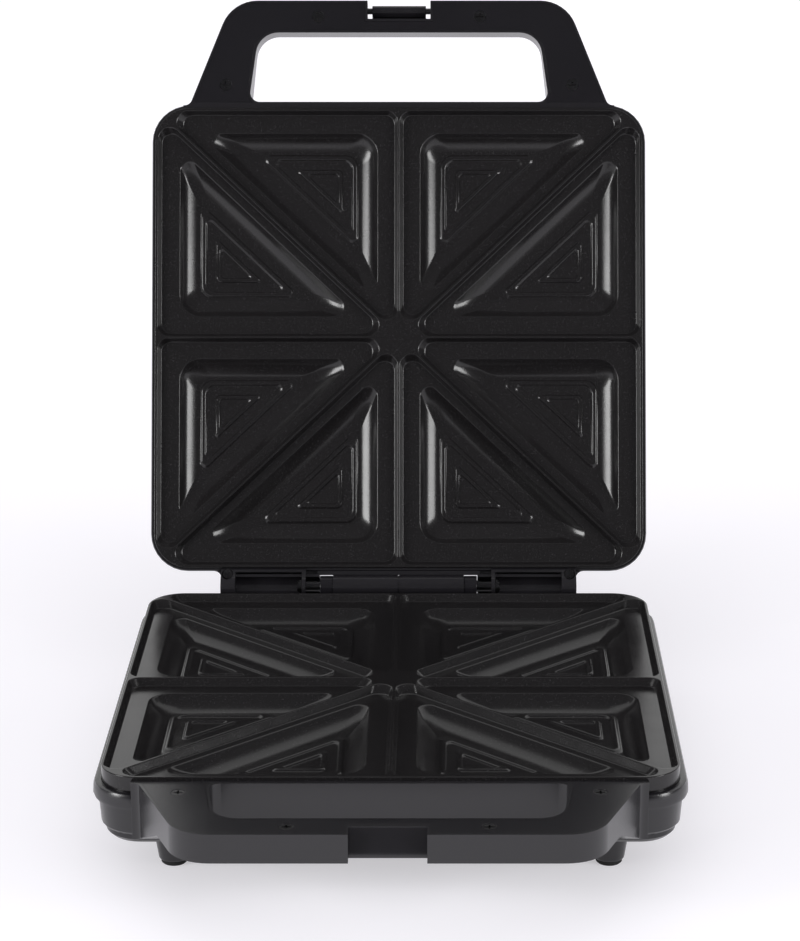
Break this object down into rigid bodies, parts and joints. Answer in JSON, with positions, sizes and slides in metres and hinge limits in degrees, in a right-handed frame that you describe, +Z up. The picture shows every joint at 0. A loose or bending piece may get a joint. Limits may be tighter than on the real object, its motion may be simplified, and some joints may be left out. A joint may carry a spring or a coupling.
{
  "type": "sandwich toaster",
  "caption": "Open electric sandwich toaster in black plastic, with hinged non-stick plates that press and halve four sandwiches, two grip handles and a flip-over latch.",
  "frame": {"origin": "on the surface it stands on, under the middle of the open toaster's box", "axes": "+Z up, -Y toward the user and the lower handle, +X to the right as seen from the front"},
  "size_m": [0.266, 0.4454, 0.3477],
  "materials": {
    "housing_plastic": "moulded heat-resistant plastic, satin gloss",
    "handle_plastic": "moulded plastic, fine matte grain",
    "underside_plastic": "moulded plastic, fine matte grain",
    "rubber": "soft black rubber",
    "nylon": "black nylon",
    "nonstick_plate": "die cast, coated with dark non-stick, fine speckle",
    "shield_steel": "aluminised sheet",
    "heater_sheath": "heat-darkened steel tube",
    "spring_steel": "spring steel",
    "pin_steel": "ground steel",
    "screw_steel": "blackened steel",
    "phenolic": "moulded phenolic",
    "ceramic": "unglazed ceramic",
    "holder_plastic": "natural nylon",
    "red_lens": "translucent lens",
    "green_lens": "translucent lens"
  },
  "bodies": {
    "base": {"base_housing": "housing_plastic", "base_bottom_cover": "underside_plastic", "bottom_cover_screws": "screw_steel", "front_feet": "underside_plastic", "rear_feet": "underside_plastic", "foot_pads": "rubber", "lower_plate": "nonstick_plate", "lower_heating_element": "heater_sheath", "lower_heat_shield": "shield_steel", "lower_element_clamps": "spring_steel", "lower_shield_screws": "screw_steel", "thermostat": "phenolic", "thermal_fuse": "ceramic", "terminal_block": "ceramic", "cable_gland": "nylon", "lower_handle_cover": "handle_plastic", "lower_handle_screws": "screw_steel", "hinge_bushes": "nylon", "hinge_pin": "pin_steel", "hinge_clips": "spring_steel"},
    "lid": {"lid_housing": "housing_plastic", "upper_plate": "nonstick_plate", "upper_heating_element": "heater_sheath", "upper_heat_shield": "shield_steel", "upper_element_clamps": "spring_steel", "upper_shield_screws": "screw_steel", "upper_handle_cover": "handle_plastic", "upper_handle_screws": "screw_steel", "hinge_arm_screws": "screw_steel", "power_lamp_lens": "red_lens", "ready_lamp_lens": "green_lens", "lamp_holder": "holder_plastic", "latch_pin": "pin_steel"},
    "latch": {"latch": "handle_plastic"}
  },
  "joints": [
    {"name": "lid_hinge", "type": "hinge", "parent": "base", "child": "lid", "pos_m": [0, 0.08822, 0.0543], "axis": [1, 0, 0], "range_deg": [0, 109]},
    {"name": "latch_pivot", "type": "hinge", "parent": "lid", "child": "latch", "pos_m": [0, 0.19724, 0.34113], "axis": [1, 0, 0], "range_deg": [0, 180]}
  ]
}
